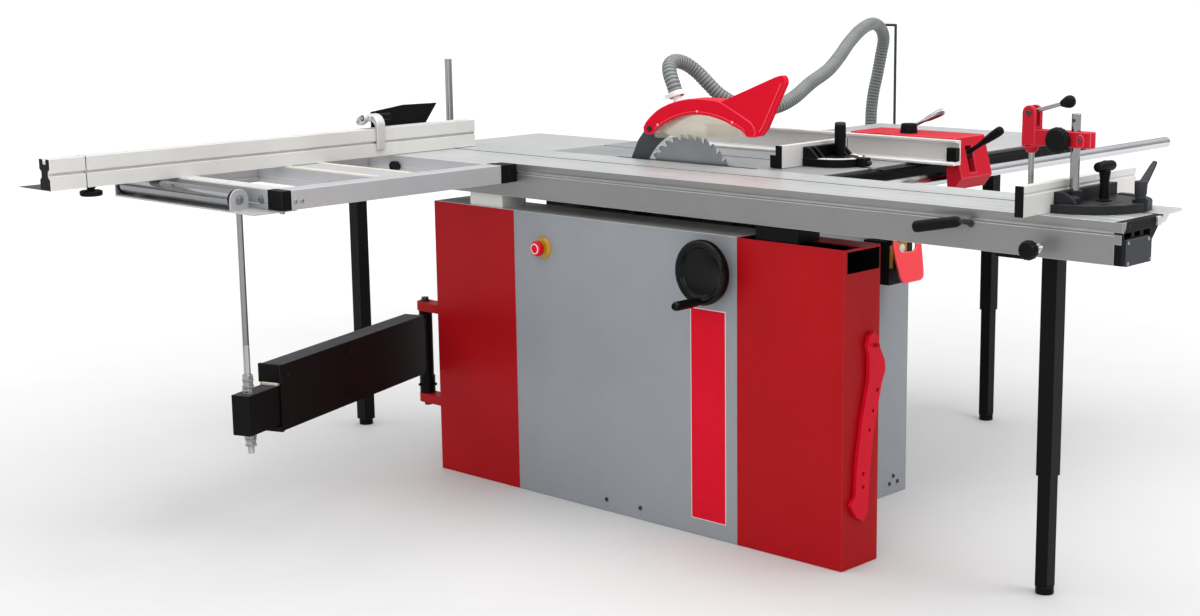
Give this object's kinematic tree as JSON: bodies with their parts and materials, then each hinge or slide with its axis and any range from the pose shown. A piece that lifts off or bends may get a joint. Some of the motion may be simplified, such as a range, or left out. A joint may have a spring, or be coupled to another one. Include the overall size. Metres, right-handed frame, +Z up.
{
  "type": "sliding table saw",
  "caption": "Sliding table saw with a long carriage beside the blade, outrigger and crosscut fence, rip fence on a round rail, tilting guarded blade and a ribbed dust hose.",
  "frame": {"origin": "on the floor, under the middle of the cabinet's footprint", "axes": "+X along the feed towards the operator's end, +Y from the sliding table to the rip fence side, +Z up"},
  "size_m": [2.644, 2.858, 1.1702],
  "materials": {
    "red_paint": "satin powder coat",
    "grey_paint": "satin powder coat",
    "cast_table": "ground",
    "sheet_table": "satin",
    "aluminium": "anodised",
    "black_paint": "satin powder coat",
    "chrome_bar": "polished",
    "bright_steel": "turned",
    "blade_steel": "ground",
    "dark_steel": "blackened",
    "grey_iron": "as cast",
    "motor_paint": "satin",
    "black_plastic": "fine grained",
    "red_plastic": "moulded",
    "belt_rubber": "matt",
    "hose_plastic": "ribbed, matt"
  },
  "bodies": {
    "base": {"left_housing": "red_paint", "centre_housing": "grey_paint", "right_housing": "red_paint", "rear_cabinet": "grey_paint", "main_table": "cast_table", "side_table": "sheet_table", "outfeed_table": "sheet_table", "front_bar": "black_paint", "rip_rail": "chrome_bar", "rail_beam": "aluminium", "leg_tubes": "black_paint", "switch_box": "black_plastic", "dust_hose": "hose_plastic", "hose_rod": "dark_steel"},
    "front_leg": {"front_leg_foot": "black_paint"},
    "side_leg": {"side_leg_foot": "black_paint"},
    "carriage_table": {"sliding_table": "aluminium", "end_caps": "black_plastic", "push_handle": "black_plastic", "outrigger_frame": "aluminium", "roller_plate": "sheet_table"},
    "table_lock": {"lock_knob": "black_plastic"},
    "roller": {"end_roller": "chrome_bar"},
    "long_fence": {"crosscut_fence": "aluminium", "fence_post": "bright_steel"},
    "fence_slider": {"fence_extension": "aluminium"},
    "length_stop": {"stop_bracket": "aluminium"},
    "stop_tongue": {"stop_flap": "black_plastic"},
    "mitre_bolt": {"mitre_knob": "black_plastic"},
    "mitre_fence": {"mitre_base": "black_paint", "mitre_bar": "aluminium", "clamp_post": "bright_steel"},
    "mitre_lock": {"mitre_lever": "black_plastic"},
    "hold_down": {"clamp_arm": "red_paint"},
    "hold_down_knob": {"clamp_knob": "black_plastic"},
    "hold_down_lever": {"clamp_lever": "bright_steel"},
    "hold_down_foot": {"clamp_plunger": "bright_steel"},
    "gauge_slider": {"gauge_bar": "bright_steel"},
    "gauge": {"gauge_head": "black_paint", "gauge_fence": "aluminium"},
    "rip_fence": {"rip_saddle": "red_paint"},
    "rip_face": {"rip_profile": "aluminium"},
    "rip_clamp": {"rip_lever": "black_plastic"},
    "rip_face_lock": {"rip_handle": "chrome_bar"},
    "height_wheel": {"handwheel": "black_plastic"},
    "stop_button": {"estop_button": "red_plastic"},
    "switch_cover": {"switch_flap": "red_plastic"},
    "stick": {"push_stick": "red_plastic"},
    "arm": {"swing_arm": "black_paint"},
    "arm_slider": {"arm_extension": "black_paint", "arm_column": "bright_steel"},
    "tilt_frame": {"trunnion": "grey_iron"},
    "saw_unit": {"saw_carriage": "grey_iron", "motor": "motor_paint", "drive_belt": "belt_rubber", "riving_knife": "dark_steel", "guard_hood": "red_plastic"},
    "blade_spindle": {"arbor": "bright_steel", "saw_blade": "blade_steel"},
    "drive_pulley": {"motor_pulley": "dark_steel"}
  },
  "joints": [
    {"name": "table_slide", "type": "slide", "parent": "base", "child": "carriage_table", "axis": [1, 0, 0], "range_m": [-0.4, 0.55]},
    {"name": "arm_swing", "type": "hinge", "parent": "base", "child": "arm", "pos_m": [-0.775, -0.283, 0.3], "axis": [0, 0, 1], "range_deg": [-45, 28]},
    {"name": "arm_extend", "type": "slide", "parent": "arm", "child": "arm_slider", "axis": [0.3379, -0.9412, 0], "range_m": [-0.04, 0.3]},
    {"name": "front_leg_adjust", "type": "slide", "parent": "base", "child": "front_leg", "axis": [0, 0, 1], "range_m": [0, 0.12]},
    {"name": "side_leg_adjust", "type": "slide", "parent": "base", "child": "side_leg", "axis": [0, 0, 1], "range_m": [0, 0.12]},
    {"name": "table_lock_turn", "type": "hinge", "parent": "carriage_table", "child": "table_lock", "pos_m": [1.175, -0.34225, 0.785], "axis": [0, 1, 0], "range_deg": [-180, 180]},
    {"name": "roller_spin", "type": "hinge", "parent": "carriage_table", "child": "roller", "pos_m": [-0.671, -1.104, 0.828], "axis": [1, 0, 0], "continuous": true},
    {"name": "fence_swing", "type": "hinge", "parent": "carriage_table", "child": "long_fence", "pos_m": [-0.765, -0.183, 0.85], "axis": [0, 0, 1], "range_deg": [-45, 45]},
    {"name": "fence_extend", "type": "slide", "parent": "long_fence", "child": "fence_slider", "axis": [0, -1, 0], "range_m": [0, 0.6]},
    {"name": "stop_travel", "type": "slide", "parent": "long_fence", "child": "length_stop", "axis": [0, 1, 0], "range_m": [-0.75, 0.08]},
    {"name": "stop_flip", "type": "hinge", "parent": "length_stop", "child": "stop_tongue", "pos_m": [-0.77, -0.45, 0.95], "axis": [0, 1, 0], "range_deg": [0, 170]},
    {"name": "mitre_travel", "type": "slide", "parent": "carriage_table", "child": "mitre_bolt", "axis": [1, 0, 0], "range_m": [-0.15, 0]},
    {"name": "mitre_swing", "type": "hinge", "parent": "mitre_bolt", "child": "mitre_fence", "pos_m": [1.222, -0.183, 0.85], "axis": [0, 0, 1], "range_deg": [-45, 45]},
    {"name": "mitre_lock_turn", "type": "hinge", "parent": "mitre_fence", "child": "mitre_lock", "pos_m": [1.296, -0.17, 0.88], "axis": [0, 0, 1], "range_deg": [-60, 60]},
    {"name": "hold_down_height", "type": "slide", "parent": "mitre_fence", "child": "hold_down", "axis": [0, 0, 1], "range_m": [-0.012, 0.03]},
    {"name": "hold_down_knob_turn", "type": "hinge", "parent": "hold_down", "child": "hold_down_knob", "pos_m": [1.16, -0.256, 0.99], "axis": [0, 1, 0], "range_deg": [-180, 180]},
    {"name": "hold_down_lever_turn", "type": "hinge", "parent": "hold_down", "child": "hold_down_lever", "pos_m": [1.086, -0.24, 1.042], "axis": [0, 1, 0], "range_deg": [-60, 0]},
    {"name": "hold_down_press", "type": "slide", "parent": "hold_down", "child": "hold_down_foot", "axis": [0, 0, 1], "range_m": [0, 0.021]},
    {"name": "gauge_travel", "type": "slide", "parent": "base", "child": "gauge_slider", "axis": [1, 0, 0], "range_m": [0, 0.08]},
    {"name": "gauge_swing", "type": "hinge", "parent": "gauge_slider", "child": "gauge", "pos_m": [0.308, 0.124, 0.85], "axis": [0, 0, 1], "range_deg": [0, 30]},
    {"name": "rip_travel", "type": "slide", "parent": "base", "child": "rip_fence", "axis": [0, 1, 0], "range_m": [-0.03, 0.8]},
    {"name": "rip_face_travel", "type": "slide", "parent": "rip_fence", "child": "rip_face", "axis": [1, 0, 0], "range_m": [-0.15, 0.15]},
    {"name": "rip_clamp_turn", "type": "hinge", "parent": "rip_fence", "child": "rip_clamp", "pos_m": [0.534, 0.351, 0.872], "axis": [0, 1, 0], "range_deg": [-8, 45]},
    {"name": "rip_face_lock_turn", "type": "hinge", "parent": "rip_fence", "child": "rip_face_lock", "pos_m": [0.366, 0.346, 0.92], "axis": [0, 0, 1], "range_deg": [-90, 90]},
    {"name": "height_wheel_turn", "type": "hinge", "parent": "base", "child": "height_wheel", "pos_m": [0.302, -0.365, 0.645], "axis": [0, 1, 0], "range_deg": [-545, 218]},
    {"name": "emergency_stop_press", "type": "slide", "parent": "base", "child": "stop_button", "axis": [0, 1, 0], "range_m": [0, 0.006], "stiffness_N_per_m": 400, "springref_m": -0.004},
    {"name": "switch_cover_lift", "type": "hinge", "parent": "base", "child": "switch_cover", "pos_m": [0.475, 0.18, 0.682], "axis": [0, 1, 0], "range_deg": [-100, 0]},
    {"name": "push_stick_lift_off", "type": "slide", "parent": "base", "child": "stick", "axis": [1, 0, 0], "range_m": [0, 0.05]},
    {"name": "blade_tilt", "type": "hinge", "parent": "base", "child": "tilt_frame", "pos_m": [0, -0.054, 0.85], "axis": [-1, 0, 0], "range_deg": [0, 45], "deforming": ["dust_hose"]},
    {"name": "blade_height", "type": "slide", "parent": "tilt_frame", "child": "saw_unit", "axis": [0, 0, 1], "range_m": [-0.03, 0.012], "deforming": ["dust_hose"]},
    {"name": "blade_spin", "type": "hinge", "parent": "saw_unit", "child": "blade_spindle", "pos_m": [-0.012, -0.054, 0.7625], "axis": [0, 1, 0], "continuous": true},
    {"name": "motor_spin", "type": "hinge", "parent": "saw_unit", "child": "drive_pulley", "pos_m": [-0.012, 0.08, 0.56], "axis": [0, 1, 0], "continuous": true}
  ],
  "couplings": [
    {"joint": "arm_swing", "follows": "table_slide", "rad_per_m": 0.85},
    {"joint": "hold_down_press", "follows": "hold_down_lever_turn", "m_per_rad": -0.02},
    {"joint": "height_wheel_turn", "follows": "blade_height", "rad_per_m": 314.16},
    {"joint": "motor_spin", "follows": "blade_spin", "ratio": 0.82222}
  ]
}
